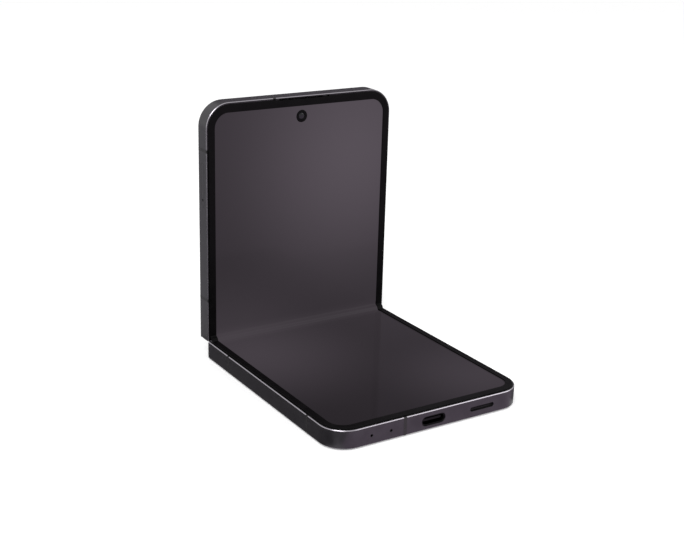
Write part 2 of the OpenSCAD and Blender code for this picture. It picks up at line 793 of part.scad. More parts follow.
switch_y = [power_y, rocker_y - rocker_l / 3, rocker_y + rocker_l / 3];
switch_face = inner_w - 1.3;
key_strip_x = switch_face - 1.4;

module key_switches() color(gold) place_upper() {
    box([key_strip_x, power_y - power_l / 2, key_z - 1.2],
        [key_strip_x + 0.7, rocker_y + rocker_l / 2, key_z + 1.2]);
    for (y = switch_y) translate([switch_face - 0.75, y, key_z]) rotate([0, 90, 0])
        cylinder(r = 1, h = 0.75);
}

module upper_screws() color(steel) place_upper() {
    board_screws(upper_bosses);
    foot_screws(0, 0);
}

module upper_rotators() color(steel) place_upper() rotators(0);

module upper_sync_segments() color(steel) place_upper() sync_segments(0, mesh_angle);

// ---- moving pieces ----

// Key: a cap in the wall's slot, a flange behind the wall with a gap, and a plunger over each switch
module key(y, l, switches, gap) {
    flange_x = inner_w - gap;
    side_slot(1, y, l, key_h, -key_proud, wall + gap + 0.1);
    box([flange_x - 0.35, y - l / 2 - 0.5, key_z - key_h / 2 - 0.3],
        [flange_x, y + l / 2 + 0.5, key_z + key_h / 2 + 0.3]);
    for (s = switches) translate([switch_face + key_travel + 0.1, s, key_z]) rotate([0, 90, 0])
        cylinder(r = 0.7, h = flange_x - switch_face - key_travel - 0.2);
}

module volume_rocker() color(frame_color) place_upper()
    key(rocker_y, rocker_l, [switch_y[1], switch_y[2]], key_travel + 0.1);

module power_button() color(frame_color) place_upper() key(power_y, power_l, [switch_y[0]], 0.1);

module sim_tray() color(frame_color) place_upper() difference() {
    union() {
        side_slot(-1, tray_y, tray_l, tray_h, 0, wall);
        box([wall - fit - half_w, tray_y - tray_l / 2 + 0.3, key_z - 0.55],
            [tray_depth - half_w, tray_y + tray_l / 2 - 0.3, key_z + 0.55]);
    }
    box([wall + 2 - half_w, tray_y - 6.2, key_z - 0.2], [wall + 14.4 - half_w, tray_y + 2.7, 0]);
    translate([-half_w - 1, tray_hole_y, key_z]) rotate([0, 90, 0]) cylinder(r = 0.45, h = wall + 1.9);
}

lower_frame();
lower_antenna_breaks();
lower_bezel();
lower_display();
lower_display_plate();
lower_wing_plate();
lower_back_glass();
lower_back_seal();
lower_battery();
ferrite_sheet();
charging_coil();
sub_board();
usb_receptacle();
loudspeaker();
speaker_grille();
microphones();
vibration_motor();
lower_screws();
lower_rotators();
lower_sync_segments();
display_fold_lower();
display_fold_upper();
fold_guard_lower();
fold_guard_upper();
hinge_spine();
spine_end_caps();
hinge_brackets();
bearing_plates();
hinge_screws();
cam_followers();
hinge_springs();
sync_gear_lower();
sync_gear_upper();
upper_frame();
upper_antenna_breaks();
upper_bezel();
upper_display();
upper_display_plate();
upper_wing_plate();
upper_back_glass();
upper_back_seal();
upper_battery();
cover_display();
main_board();
shield_cans();
main_camera();
wide_camera();
lens_rings();
lens_windows();
flash();
front_camera();
earpiece();
sim_reader();
key_switches();
upper_screws();
upper_rotators();
upper_sync_segments();
sim_tray();
volume_rocker();
power_button();
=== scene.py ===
import json
import math

import bmesh
import bpy
from mathutils import Matrix, Vector


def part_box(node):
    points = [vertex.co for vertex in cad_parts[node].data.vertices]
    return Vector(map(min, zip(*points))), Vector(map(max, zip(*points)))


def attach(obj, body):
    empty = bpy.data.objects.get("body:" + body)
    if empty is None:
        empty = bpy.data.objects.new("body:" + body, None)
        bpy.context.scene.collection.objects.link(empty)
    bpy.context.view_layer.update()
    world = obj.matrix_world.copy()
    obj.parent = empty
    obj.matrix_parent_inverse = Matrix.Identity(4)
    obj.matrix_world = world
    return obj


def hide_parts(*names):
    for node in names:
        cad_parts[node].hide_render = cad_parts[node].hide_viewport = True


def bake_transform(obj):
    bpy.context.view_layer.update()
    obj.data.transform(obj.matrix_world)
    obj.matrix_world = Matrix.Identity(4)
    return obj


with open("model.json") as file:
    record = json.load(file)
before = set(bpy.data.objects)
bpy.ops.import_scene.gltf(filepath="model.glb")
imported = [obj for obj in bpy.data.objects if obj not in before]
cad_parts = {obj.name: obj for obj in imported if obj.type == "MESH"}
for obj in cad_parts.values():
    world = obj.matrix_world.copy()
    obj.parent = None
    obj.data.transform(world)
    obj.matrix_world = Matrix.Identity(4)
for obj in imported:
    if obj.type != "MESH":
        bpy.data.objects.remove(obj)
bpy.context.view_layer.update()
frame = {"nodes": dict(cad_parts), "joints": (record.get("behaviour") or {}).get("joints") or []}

MM = 0.001

# ---- camera, at the photograph's viewpoint ----

IMAGE_W = 684
CAM_AZ, CAM_EL, CAM_ROLL = math.radians(-32.546), math.radians(18.873), math.radians(1.557)
CAM_AT = Vector((-208.36, -313.31, 166.37)) * MM
FOCAL_PX = 1228.5
SENSOR = 36.0


def make_camera():
    back = Vector((math.sin(CAM_AZ) * math.cos(CAM_EL), -math.cos(CAM_AZ) * math.cos(CAM_EL),
                   math.sin(CAM_EL)))
    right = (-back).cross(Vector((0, 0, 1))).normalized()
    up = right.cross(-back)
    c, s = math.cos(CAM_ROLL), math.sin(CAM_ROLL)
    right, up = c * right + s * up, -s * right + c * up
    data = bpy.data.cameras.new("camera")
    data.sensor_width = SENSOR
    data.lens = FOCAL_PX * SENSOR / IMAGE_W
    data.clip_start, data.clip_end = 0.01, 20
    cam = bpy.data.objects.new("camera", data)
    bpy.context.scene.collection.objects.link(cam)
    turn = Matrix((right, up, back)).transposed().to_4x4()
    cam.matrix_world = Matrix.Translation(CAM_AT) @ turn
    bpy.context.scene.camera = cam


make_camera()

# ---- the two halves, in coordinates of their own: across, from the fold, and below the bezel face ----


def measured(length):
    """A length read from the frame, in millimetres, to the nearest micrometre."""
    return round(length, 3)


def pivot_of(joint):
    """Where the axis of a fold joint is, as y and z in millimetres."""
    _, y, z = next(j["pos_m"] for j in frame["joints"] if j["name"] == joint)
    return y / MM, z / MM


LOWER_PIVOT_Y, LOWER_PIVOT_Z = pivot_of("fold_lower")
UPPER_PIVOT_Y, UPPER_PIVOT_Z = pivot_of("fold_upper")
PIVOT_RUN, PIVOT_RISE = UPPER_PIVOT_Y - LOWER_PIVOT_Y, UPPER_PIVOT_Z - LOWER_PIVOT_Z
FOLD_TURN = math.atan2(PIVOT_RISE, PIVOT_RUN)
FRAME_LOW, FRAME_HIGH = (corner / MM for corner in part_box("lower_frame"))
HALF_W = measured(FRAME_HIGH.x)
HALF_T = measured(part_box("lower_bezel")[1].z / MM)
PIVOT_A = measured(math.hypot(PIVOT_RUN, PIVOT_RISE) / 2)
PIVOT_D = measured(HALF_T - LOWER_PIVOT_Z)
FOLD_Y = measured(LOWER_PIVOT_Y + PIVOT_A)
HALF_L = measured(FOLD_Y - FRAME_LOW.y)
UPPER_Y = measured(UPPER_PIVOT_Y - PIVOT_D)
UPPER_Z = measured(UPPER_PIVOT_Z - PIVOT_A)

CORNER_R, PICTURE_D = 8.4, 0.45
LENS_X, LENS_A = HALF_W - 12.35, {"main": HALF_L - 11.15, "wide": HALF_L - 25.75}
FLASH_A = HALF_L - 37.35


def to_row(half, x, a, d):
    """A point of a half, given in millimetres, as the frame has it, in metres."""
    if half == "lower":
        return Vector((x, FOLD_Y - a, HALF_T - d)) * MM
    return Vector((x, UPPER_Y + d, UPPER_Z + a)) * MM


def to_half(half, p):
    """The other way: a point of the frame, in metres, as a point of a half."""
    x, y, z = (c / MM for c in p)
    return (x, FOLD_Y - y, HALF_T - z) if half == "lower" else (x, z - UPPER_Z, y - UPPER_Y)


def normal_in_half(half, n):
    return (n.x, -n.y, -n.z) if half == "lower" else (n.x, n.z, n.y)


# ---- materials ----


def nodes_of(name):
    """A new material with its node tree, its shader and the socket that gives places on the piece."""
    mat = bpy.data.materials.new(name)
    mat.use_nodes = True
    tree = mat.node_tree
    tree.nodes.clear()
    out = tree.nodes.new("ShaderNodeOutputMaterial")
    bsdf = tree.nodes.new("ShaderNodeBsdfPrincipled")
    tree.links.new(bsdf.outputs[0], out.inputs["Surface"])
    where = tree.nodes.new("ShaderNodeTexCoord").outputs["Object"]
    return mat, tree, bsdf, where


def noise(tree, where, size, detail):
    """Noise whose grain is about size metres."""
    tex = tree.nodes.new("ShaderNodeTexNoise")
    tex.inputs["Scale"].default_value = 1 / size
    tex.inputs["Detail"].default_value = detail
    tree.links.new(where, tex.inputs["Vector"])
    return tex.outputs["Fac"]


def spread(tree, value, low, high, start=0.3, end=0.7, smooth=False):
    """low where the value is start, high where it is end, an even change between, and no more beyond them.
    With smooth, the change starts and ends gently."""
    node = tree.nodes.new("ShaderNodeMapRange")
    node.interpolation_type = "SMOOTHSTEP" if smooth else "LINEAR"
    for key, v in (("From Min", start), ("From Max", end), ("To Min", low), ("To Max", high)):
        node.inputs[key].default_value = v
    tree.links.new(value, node.inputs["Value"])
    return node.outputs[0]


def ramp(tree, value, stops):
    """A colour for the value, from stops of (place, colour)."""
    node = tree.nodes.new("ShaderNodeValToRGB")
    elements = node.color_ramp.elements
    while len(elements) < len(stops):
        elements.new(0.5)
    for e, (at, colour) in zip(elements, stops):
        e.position, e.color = at, (*colour, 1)
    tree.links.new(value, node.inputs[0])
    return node.outputs[0]


def bump(tree, bsdf, height, distance):
    node = tree.nodes.new("ShaderNodeBump")
    node.inputs["Distance"].default_value = distance
    node.inputs["Strength"].default_value = 1.0
    tree.links.new(height, node.inputs["Height"])
    tree.links.new(node.outputs[0], bsdf.inputs["Normal"])


def finish_of(name, colour, rough, metal=0.0, vary=0.12, rough_vary=0.15, blotch=4 * MM, grain=0.06 * MM,
              bump_depth=0.002 * MM, coat=0.0, specular=0.5):
    """A moulded, cast or machined surface: mottled colour and roughness, and a fine grain."""
    mat, tree, bsdf, where = nodes_of(name)
    patch = noise(tree, where, blotch, detail=4)
    fine = noise(tree, where, grain, detail=2)
    low = [c * (1 - vary) for c in colour]
    high = [min(1, c * (1 + vary)) for c in colour]
    tree.links.new(ramp(tree, patch, [(0.3, low), (0.7, high)]), bsdf.inputs["Base Color"])
    tree.links.new(spread(tree, patch, rough * (1 - rough_vary), min(1, rough * (1 + rough_vary))),
                   bsdf.inputs["Roughness"])
    bsdf.inputs["Metallic"].default_value = metal
    bsdf.inputs["Coat Weight"].default_value = coat
    bsdf.inputs["Coat Roughness"].default_value = 0.08
    bsdf.inputs["Specular IOR Level"].default_value = specular
    bump(tree, bsdf, fine, bump_depth)
    return mat


FINISH = {
    "frame": finish_of("anodised_graphite", (0.046, 0.043, 0.048), 0.38, metal=0.85, grain=0.05 * MM),
    "spine": finish_of("spine_metal", (0.11, 0.105, 0.112), 0.24, metal=0.9),
    # The receptacle's steel shell is darkened almost to black, as painted shade in the port's mouth.
    "port": finish_of("port_shell_painted_shade", (0.012, 0.012, 0.0125), 0.4, metal=1.0),
    "gold": finish_of("contact_gold", (0.8, 0.56, 0.2), 0.25, metal=1.0),
    "chamfer": finish_of("polished_chamfer", (0.33, 0.31, 0.34), 0.26, metal=1.0, vary=0.05),
    "antenna": finish_of("antenna_plastic", (0.018, 0.0165, 0.018), 0.5, specular=0.25),
    "bezel": finish_of("bezel_polymer", (0.003, 0.0027, 0.003), 0.34, vary=0.2, specular=0.045),
    "dark_glass": finish_of("dark_glass", (0.003, 0.003, 0.0035), 0.05, blotch=30 * MM, bump_depth=0.0,
                            specular=0.3),
    "back": finish_of("back_glass", (0.03, 0.029, 0.031), 0.34, vary=0.04, rough_vary=0.05, blotch=20 * MM,
                      bump_depth=0.0, specular=0.3),
    "lens_ring": finish_of("lens_ring_metal", (0.1, 0.1, 0.105), 0.25, metal=0.9),
    "lens_glass": finish_of("lens_glass", (0.004, 0.004, 0.006), 0.03, specular=0.3, bump_depth=0.0),
    "steel": finish_of("stainless_steel", (0.42, 0.42, 0.43), 0.3, metal=1.0),
    "brass": finish_of("brass", (0.65, 0.47, 0.18), 0.3, metal=1.0),
    "copper": finish_of("copper_winding", (0.7, 0.32, 0.16), 0.32, metal=1.0),
    "adhesive": finish_of("adhesive_foam", (0.02, 0.02, 0.02), 0.85),
    "cell": finish_of("cell_wrap", (0.03, 0.03, 0.034), 0.55),
    "board": finish_of("circuit_board", (0.012, 0.045, 0.028), 0.4, coat=0.3),
    # The grilles are black mesh, darkened further as painted shade in the slots and holes over them.
    "mesh": finish_of("black_mesh_painted_shade", (0.007, 0.0065, 0.0075), 0.5, metal=0.6),
    "diffuser": finish_of("flash_diffuser", (0.75, 0.7, 0.52), 0.3, coat=0.5),
    "black": finish_of("black_plastic", (0.01, 0.01, 0.011), 0.45),
    "coated_lens": finish_of("coated_lens", (0.05, 0.03, 0.14), 0.06, metal=0.6, bump_depth=0.0,
                             specular=0.8),
    "barrel": finish_of("lens_barrel", (0.05, 0.05, 0.052), 0.35, metal=0.5),
    "window": finish_of("window_glass", (0.02, 0.02, 0.022), 0.02, vary=0.02, bump_depth=0.0, specular=1.0),
}


def inside(tree, where, middle, half_size, corner):
    """1 inside a rectangle with round corners and 0 outside it. All its measures are in metres."""
    def vector(operation, a, b=None):
        node = tree.nodes.new("ShaderNodeVectorMath")
        node.operation = operation
        tree.links.new(a, node.inputs[0])
        if b is not None:
            node.inputs[1].default_value = b
        return node
    flat = vector("MULTIPLY", vector("SUBTRACT", where, middle).outputs[0], (1, 0, 1)).outputs[0]
    past = vector("SUBTRACT", vector("ABSOLUTE", flat).outputs[0],
                  (half_size[0] - corner, 0, half_size[1] - corner)).outputs[0]
    past = vector("LENGTH", vector("MAXIMUM", past, (0, 0, 0)).outputs[0]).outputs["Value"]
    return spread(tree, past, 1, 0, corner - 0.02 * MM, corner + 0.02 * MM)


def blend_value(tree, mask, a, b):
    """A number or colour that is a where mask is 0, and b where it is 1."""
    node = tree.nodes.new("ShaderNodeMix")
    node.data_type = "RGBA"
    tree.links.new(mask, node.inputs["Factor"])
    for socket, value in zip((node.inputs[6], node.inputs[7]), (a, b)):
        if isinstance(value, tuple):
            socket.default_value = (*value, 1)
        else:
            tree.links.new(value, socket)
    return node.outputs[2]


# Rectangles on the upper back, in millimetres: middle, half size and corner radius
BLACK_BAND = ((0, HALF_L), (50, 41.5), 0.1)
COVER_PICTURE = ((-7.75, HALF_L - 15.05), (20.6, 10), 2.5)


def upper_back():
    """Satin glass, with a glossy black band across the cameras and the cover display in it."""
    mat = FINISH["back"].copy()
    mat.name = "upper_back_glass_finish"
    tree = mat.node_tree
    bsdf = tree.nodes["Principled BSDF"]
    where = next(n for n in tree.nodes if n.type == "TEX_COORD").outputs["Object"]
    band, picture = (inside(tree, where, to_row("upper", *middle, 0), [c * MM for c in half_size],
                            corner * MM)
                     for middle, half_size, corner in (BLACK_BAND, COVER_PICTURE))
    for name, outer, inner in (("Base Color", (0.004, 0.004, 0.0045), (0.009, 0.009, 0.0115)),
                               ("Roughness", (0.07, 0.07, 0.07), (0.04, 0.04, 0.04))):
        plain = bsdf.inputs[name].links[0].from_socket
        with_band = blend_value(tree, band, plain, outer)
        tree.links.new(blend_value(tree, picture, with_band, inner), bsdf.inputs[name])
    return mat


FINISH["upper_back"] = upper_back()

# Painted reflections, glowing in the display, in millimetres across the display and up from the fold: the
# direction of their gradient, with the tones at both ends, and the middle, reach and strength of each glow
SLANT, SLANT_REFLECTION_TONES = (0.6, 0.8, 0), (0.1, 0.4)
REFLECTION_GLOWS = [((20, 60), 60, 0.4), ((-30, -20), 50, 0.25), ((30, -70), 40, 0.2)]
# A painted highlight along the crease: its strength, and how far from the fold it reaches, in millimetres.
CREASE_PAINTED_HIGHLIGHT, CREASE_HIGHLIGHT_REACH = 0.08, 5
# The darkest and lightest colours of the painted reflections glowing in the display.
REFLECTION_DARK, REFLECTION_LIGHT = (0.005, 0.004, 0.005), (0.12, 0.1, 0.12)


def display_painted_reflections():
    """Near-black glass over a dim glow that paints the screen's reflections: soft round painted reflections
    on a plain slanting gradient, and a painted highlight along the crease. The mesh's spot attribute says
    where on the display a point is."""
    mat, tree, bsdf, where = nodes_of("display_painted_reflections")
    spot = tree.nodes.new("ShaderNodeAttribute")
    spot.attribute_name = "spot"

    def vector_node(operation, value):
        node = tree.nodes.new("ShaderNodeVectorMath")
        node.operation = operation
        node.inputs[1].default_value = value
        tree.links.new(spot.outputs["Vector"], node.inputs[0])
        return node.outputs["Value"]

    def math_node(operation, a, b=None):
        node = tree.nodes.new("ShaderNodeMath")
        node.operation = operation
        for socket, value in zip(node.inputs, (a, b)):
            if value is not None:
                tree.links.new(value, socket)
        return node.outputs[0]

    # Painted reflection: a slanting gradient with soft round glows on it.
    tone = spread(tree, vector_node("DOT_PRODUCT", SLANT), *SLANT_REFLECTION_TONES, -100, 100)
    for middle, reach, strength in REFLECTION_GLOWS:
        glow = spread(tree, vector_node("DISTANCE", (*middle, 0)), strength, 0, 0, reach, smooth=True)
        tone = math_node("ADD", tone, glow)
    # A painted highlight along the crease, strongest at the fold.
    from_fold = math_node("ABSOLUTE", vector_node("DOT_PRODUCT", (0, 1, 0)))
    tone = math_node("ADD", tone, spread(tree, from_fold, CREASE_PAINTED_HIGHLIGHT, 0, 0, CREASE_HIGHLIGHT_REACH, smooth=True))
    # The painted reflections and the painted crease highlight are given off as light.
    tree.links.new(ramp(tree, tone, [(0, REFLECTION_DARK), (1, REFLECTION_LIGHT)]), bsdf.inputs["Emission Color"])
    bsdf.inputs["Emission Strength"].default_value = 1
    smudge = noise(tree, where, 18 * MM, detail=2)
    tree.links.new(spread(tree, smudge, 0.08, 0.12), bsdf.inputs["Roughness"])
    bsdf.inputs["Base Color"].default_value = (0.002, 0.002, 0.002, 1)
    bsdf.inputs["Specular IOR Level"].default_value = 0.035
    return mat


# The lit finish glows with painted reflections and a painted highlight along the crease.
FINISH["lit"] = display_painted_reflections()
FINISH["window"].node_tree.nodes["Principled BSDF"].inputs["Alpha"].default_value = 0.15

LOOKS = {
    "frame": "sim_tray volume_rocker power_button lower_frame upper_frame",
    "spine": "hinge_spine spine_end_caps",
    "antenna": "lower_antenna_breaks upper_antenna_breaks",
    "bezel": "lower_bezel upper_bezel fold_guard_lower fold_guard_upper",
    "dark_glass": "lower_display upper_display display_fold_lower display_fold_upper cover_display",
    "back": "lower_back_glass upper_back_glass",
    "lens_ring": "lens_rings",
    "lens_glass": "front_camera",
    "window": "lens_windows",
    "steel": "lower_display_plate upper_display_plate lower_wing_plate upper_wing_plate lower_rotators"
             " upper_rotators lower_sync_segments upper_sync_segments hinge_brackets bearing_plates"
             " hinge_screws lower_screws upper_screws hinge_springs shield_cans vibration_motor",
    "brass": "sync_gear_lower sync_gear_upper cam_followers",
    "port": "usb_receptacle",
    "copper": "charging_coil",
    "adhesive": "lower_back_seal upper_back_seal ferrite_sheet",
    "cell": "lower_battery upper_battery",
    "board": "main_board sub_board",
    "mesh": "speaker_grille earpiece microphones",
    "diffuser": "flash",
    "black": "loudspeaker main_camera wide_camera sim_reader key_switches",
}
for look, names in LOOKS.items():
    for name in names.split():
        mesh = frame["nodes"][name].data
        mesh.materials.clear()
        mesh.materials.append(FINISH[look])

# ---- the outside: CAD pieces with their edges rounded ----


def add_object(name, bm, mats, sharp=30):
    mesh = bpy.data.meshes.new(name)
    bm.to_mesh(mesh)
    bm.free()
    for mat in mats:
        mesh.materials.append(mat)
    mesh.polygons.foreach_set("use_smooth", [True] * len(mesh.polygons))
    mesh.set_sharp_from_angle(angle=math.radians(sharp))
    obj = bpy.data.objects.new(name, mesh)
    bpy.context.scene.collection.objects.link(obj)
    weigh = obj.modifiers.new("normals", "WEIGHTED_NORMAL")
    weigh.keep_sharp = True
    return obj


WELD_D, FLAT_ANGLE, EDGE_ANGLE = 0.002 * MM, math.radians(0.6), math.radians(25)


def dressed(node, body, name, mats, width, segments=2, choose=None, pick=None, cuts=()):
    """A copy of a CAD node with its edges rounded. choose says by an edge's middle whether it is rounded.
    pick gives a face's material by its middle and normal, after the planes in cuts have divided the faces."""
    bm = bmesh.new()
    bm.from_mesh(frame["nodes"][node].data)
    bmesh.ops.remove_doubles(bm, verts=bm.verts, dist=WELD_D)
    bmesh.ops.dissolve_limit(bm, angle_limit=FLAT_ANGLE, verts=bm.verts, edges=bm.edges, delimit={"NORMAL"})
    edges = [e for e in bm.edges if len(e.link_faces) == 2 and e.calc_face_angle(0) > EDGE_ANGLE
             and (choose is None or choose((e.verts[0].co + e.verts[1].co) / 2))]
    bmesh.ops.bevel(bm, geom=edges, offset=width * MM, offset_type="OFFSET", segments=segments,
                    profile=0.5, affect="EDGES", clamp_overlap=False)
    for at, normal in cuts:
        bmesh.ops.bisect_plane(bm, geom=bm.verts[:] + bm.edges[:] + bm.faces[:], plane_co=at, plane_no=normal)
    if pick:
        bm.normal_update()
        for f in bm.faces:
            f.material_index = pick(f.calc_center_median(), f.normal)
    obj = add_object(name, bm, mats)
    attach(obj, body)
    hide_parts(node)


def edge_distance(x, a):
    """How far a point of a half's plan is inside its outline."""
    dx, da = abs(x) - (HALF_W - CORNER_R), a - (HALF_L - CORNER_R)
    if dx > 0 and da > 0:
        return CORNER_R - math.hypot(dx, da)
    return min(HALF_W - abs(x), HALF_L - a)


BREAK_W, SIDE_BREAKS, END_BREAK, END_WALL = 1.1, (15, HALF_L - 15.75), -10.6, 2
SEAM_D, CHAMFER_D, BREAK_D = 0.42, 0.85, 1
RIM_W, CHAMFER_W, SLOPED = 0.9, 0.55, (0.3, 0.96)
FRAME, CHAMFER, ANTENNA, SEAM = range(4)


def shell_cuts(half):
    """Planes at both sides of each antenna break, and one at the foot of the black seam round the bezel."""
    along, down = ((0, 1, 0), (0, 0, 1)) if half == "lower" else ((0, 0, 1), (0, 1, 0))
    cuts = [(to_row(half, 0, 0, SEAM_D), down)]
    for e in (-BREAK_W / 2, BREAK_W / 2):
        cuts += [(to_row(half, 0, a + e, 0), along) for a in SIDE_BREAKS]
        cuts.append((to_row(half, END_BREAK + e, 0, 0), (1, 0, 0)))
    return cuts


def shell_pick(half):
    """Black in the seam, plastic across the antenna breaks, polished on the chamfers and plain elsewhere."""
    def pick(at, normal):
        x, a, d = to_half(half, at)
        from_edge = edge_distance(x, a)
        at_break = (any(abs(a - b) < BREAK_W / 2 for b in SIDE_BREAKS)
                    or abs(x - END_BREAK) < BREAK_W / 2 and a > HALF_L - END_WALL)
        if d < SEAM_D and from_edge < RIM_W:
            return SEAM
        if at_break and d < BREAK_D and from_edge < RIM_W:
            return ANTENNA
        on_edge = from_edge < CHAMFER_W and (d < CHAMFER_D or d > HALF_T - CHAMFER_D)
        slope = abs(normal_in_half(half, normal)[2])
        return CHAMFER if on_edge and SLOPED[0] < slope < SLOPED[1] else FRAME
    return pick


OUTER_DEPTH = 1.3


def outer_only(half):
    """Chooses the edges on the outside of a half's frame."""
    def choose(p):
        x, a, _ = to_half(half, p)
        return edge_distance(x, a) < OUTER_DEPTH
    return choose


for half in ("lower", "upper"):
    dressed(f"{half}_frame", f"{half}_half", f"{half}_shell",
            [FINISH["frame"], FINISH["chamfer"], FINISH["antenna"], FINISH["bezel"]], 0.07,
            choose=outer_only(half), pick=shell_pick(half), cuts=shell_cuts(half))
    dressed(f"{half}_bezel", f"{half}_half", f"{half}_bezel_trim", [FINISH["bezel"]], 0.14, 3)
    dressed(f"{half}_back_glass", f"{half}_half", f"{half}_back_panel",
            [FINISH["back"] if half == "lower" else FINISH["upper_back"]], 0.22, 4,
            choose=lambda p, h=half: to_half(h, p)[2] > HALF_T - 0.1)
dressed("sim_tray", "tray", "tray_with_door", [FINISH["frame"]], 0.05)
dressed("volume_rocker", "rocker", "rocker_key", [FINISH["frame"]], 0.12, 3)
dressed("power_button", "power_key", "power_key_cap", [FINISH["frame"]], 0.12, 3)
dressed("hinge_spine", "spine", "spine_cover", [FINISH["spine"]], 0.08)
dressed("spine_end_caps", "spine", "spine_caps", [FINISH["spine"]], 0.12, 3)
dressed("lens_rings", "upper_half", "lens_bezels", [FINISH["lens_ring"]], 0.2, 4)

# ---- the display: two flat panels, each with its part of the bending strip ----

PANEL_T, PANEL_INSET = 0.4, 1.5
BEND_START, BEND_STEPS = 3.2, 24
PUNCH_R, PUNCH_A, PUNCH_STEPS = 2.15, HALF_L - 6.95, 48
CORNER_STEPS = 18
GUARD_X, GUARD_D, GUARD_FOOT_D, GUARD_EDGE = (HALF_W - 3.0, HALF_W - 0.75), 0.04, PICTURE_D + 0.05, 0.14


def folded(a, d, share):
    """Where a point of a half, given for the opened phone, goes when it is turned back about the pivot."""
    c, s = math.cos(FOLD_TURN * share), math.sin(FOLD_TURN * share)
    x, y = a - PIVOT_A, d - PIVOT_D
    return Vector((PIVOT_A + x * c - y * s, PIVOT_D + x * s + y * c))


def bend_sections(half, levels):
    """The bend from a half's flat end to the middle of the fold, as a point at each level of each section.
    Each section is turned by an ease of how far along the chord it is, so each one is folded by just that
    from its place in the flat."""
    first = Vector((BEND_START, PICTURE_D))
    chord = folded(0, PICTURE_D, 1) - first
    sections = []
    for i in range(BEND_STEPS + 1):
        t = i / BEND_STEPS
        share = t * t * (3 - 2 * t)
        section = []
        for d in levels:
            at = folded(0, d, share)
            if i < BEND_STEPS:
                along = folded(1, d, share) - at
                missing = t * chord.length_squared - (at - first).dot(chord)
                at += along * (missing / along.dot(chord))
            section.append(to_row(half, 0, *at))
        sections.append(section)
    return sections


def blend_over_fold(obj, half):
    """Bakes the piece's transform into its mesh, the same for either half."""
    if half == "lower":
        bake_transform(obj)
    else:
        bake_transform(obj)


def on_circle(radius, degrees):
    return radius * math.cos(math.radians(degrees)), radius * math.sin(math.radians(degrees))


def screen(half):
    """A flat panel with round outer corners, and its part of the bend. The upper one has the camera hole."""
    bm = bmesh.new()
    levels = (PICTURE_D, PICTURE_D + PANEL_T)
    sections = bend_sections(half, levels)
    w, r, far = HALF_W - PANEL_INSET, CORNER_R - PANEL_INSET, HALF_L - PANEL_INSET
    corner = [on_circle(r, 90 * i / CORNER_STEPS) for i in range(CORNER_STEPS + 1)]
    arc = [(w - r + x, far - r + a) for x, a in corner]
    rim = arc + [(-x, a) for x, a in arc[::-1]]
    loops = []
    for level, d in enumerate(levels):
        ring = [bm.verts.new(to_row(half, x, a, d)) for x, a in rim]
        rows = [[bm.verts.new(s[level] + Vector((x * MM, 0, 0))) for x in (w, -w)] for s in sections]
        for p, q in zip(rows, rows[1:]):
            bm.faces.new((p[0], p[1], q[1], q[0]))
        border = [rows[0][0]] + ring + [rows[0][1]]
        edges = [bm.edges.get(pair) or bm.edges.new(pair) for pair in zip(border, border[1:] + border[:1])]
        hole = []
        if half == "upper":
            circle = [on_circle(PUNCH_R, 360 * i / PUNCH_STEPS) for i in range(PUNCH_STEPS)]
            hole = [bm.verts.new(to_row(half, x, PUNCH_A + a, d)) for x, a in circle]
            edges += [bm.edges.new(pair) for pair in zip(hole, hole[1:] + hole[:1])]
        bmesh.ops.triangle_fill(bm, edges=edges, use_beauty=True)
        loops.append(([q[0] for q in rows[::-1]] + ring + [q[1] for q in rows], hole))
    for top, bottom in zip(*loops):
        for i in range(len(top)):
            j = (i + 1) % len(top)
            bm.faces.new((top[i], top[j], bottom[j], bottom[i]))
    bmesh.ops.recalc_face_normals(bm, faces=bm.faces)
    obj = add_object(f"{half}_screen", bm, [FINISH["lit"]], sharp=40)
    spots = obj.data.attributes.new("spot", "FLOAT_VECTOR", "POINT")
    for vert, spot in zip(obj.data.vertices, spots.data):
        x, y, z = vert.co / MM
        spot.vector = (x, y - UPPER_Y + z - HALF_T, 0)
    blend_over_fold(obj, half)
    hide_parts(f"{half}_display", f"display_fold_{half}")


def fold_guard(half):
    """The black edge that carries the bezel round the fold, at both ends and a little over the screen."""
    bm = bmesh.new()
    sections = bend_sections(half, (GUARD_D, GUARD_D + GUARD_EDGE, GUARD_FOOT_D))
    for side in (1, -1):
        x0, x1 = side * GUARD_X[0], side * GUARD_X[1]
        e = side * GUARD_EDGE
        rows = [[bm.verts.new(p + Vector((x * MM, 0, 0))) for x, p in
                 ((x0, low), (x0, mid), (x0 + e, top), (x1 - e, top), (x1, mid), (x1, low))]
                for top, mid, low in sections]
        for p, q in zip(rows, rows[1:]):
            for i in range(len(p)):
                j = (i + 1) % len(p)
                bm.faces.new((p[i], p[j], q[j], q[i]))
        bm.faces.new(rows[0])
        bm.faces.new(rows[-1])
    bmesh.ops.recalc_face_normals(bm, faces=bm.faces)
    obj = add_object(f"{half}_fold_guard", bm, [FINISH["bezel"]])
    blend_over_fold(obj, half)
    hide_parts(f"fold_guard_{half}")


for half in ("lower", "upper"):
    screen(half)
    fold_guard(half)

# ---- lenses, seen through their windows, and other small pieces ----

TURN_STEPS = 64


